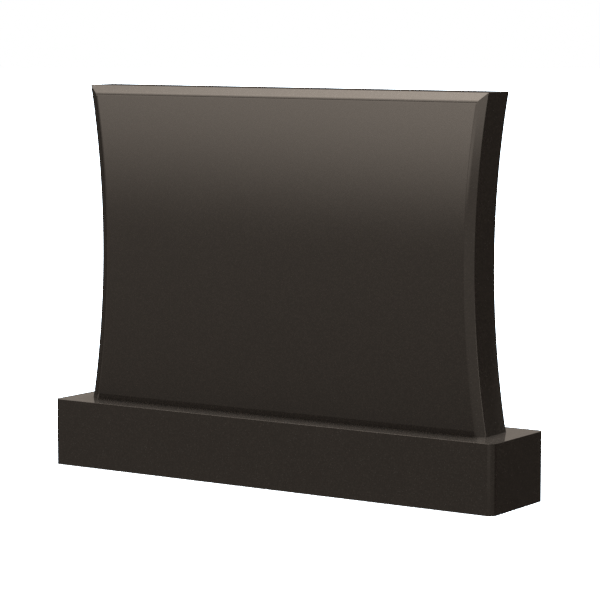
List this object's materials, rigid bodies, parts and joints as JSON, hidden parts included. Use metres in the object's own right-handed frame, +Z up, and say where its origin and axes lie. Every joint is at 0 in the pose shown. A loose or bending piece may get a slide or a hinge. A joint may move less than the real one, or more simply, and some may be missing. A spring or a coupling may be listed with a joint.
{
  "type": "headstone",
  "caption": "Upright polished dark granite headstone: a bevelled tablet with waisted sides on a rectangular base.",
  "frame": {"origin": "centre of the base's underside, on the surface that the headstone stands on", "axes": "+X along the width, to the right of someone who faces the front; -Y out of the front, bevelled face of the tablet; +Z up"},
  "size_m": [1.11, 0.21, 0.835],
  "materials": {
    "polished_granite": "polished"
  },
  "bodies": {
    "root": {"tablet": "polished_granite", "base": "polished_granite"}
  },
  "joints": []
}
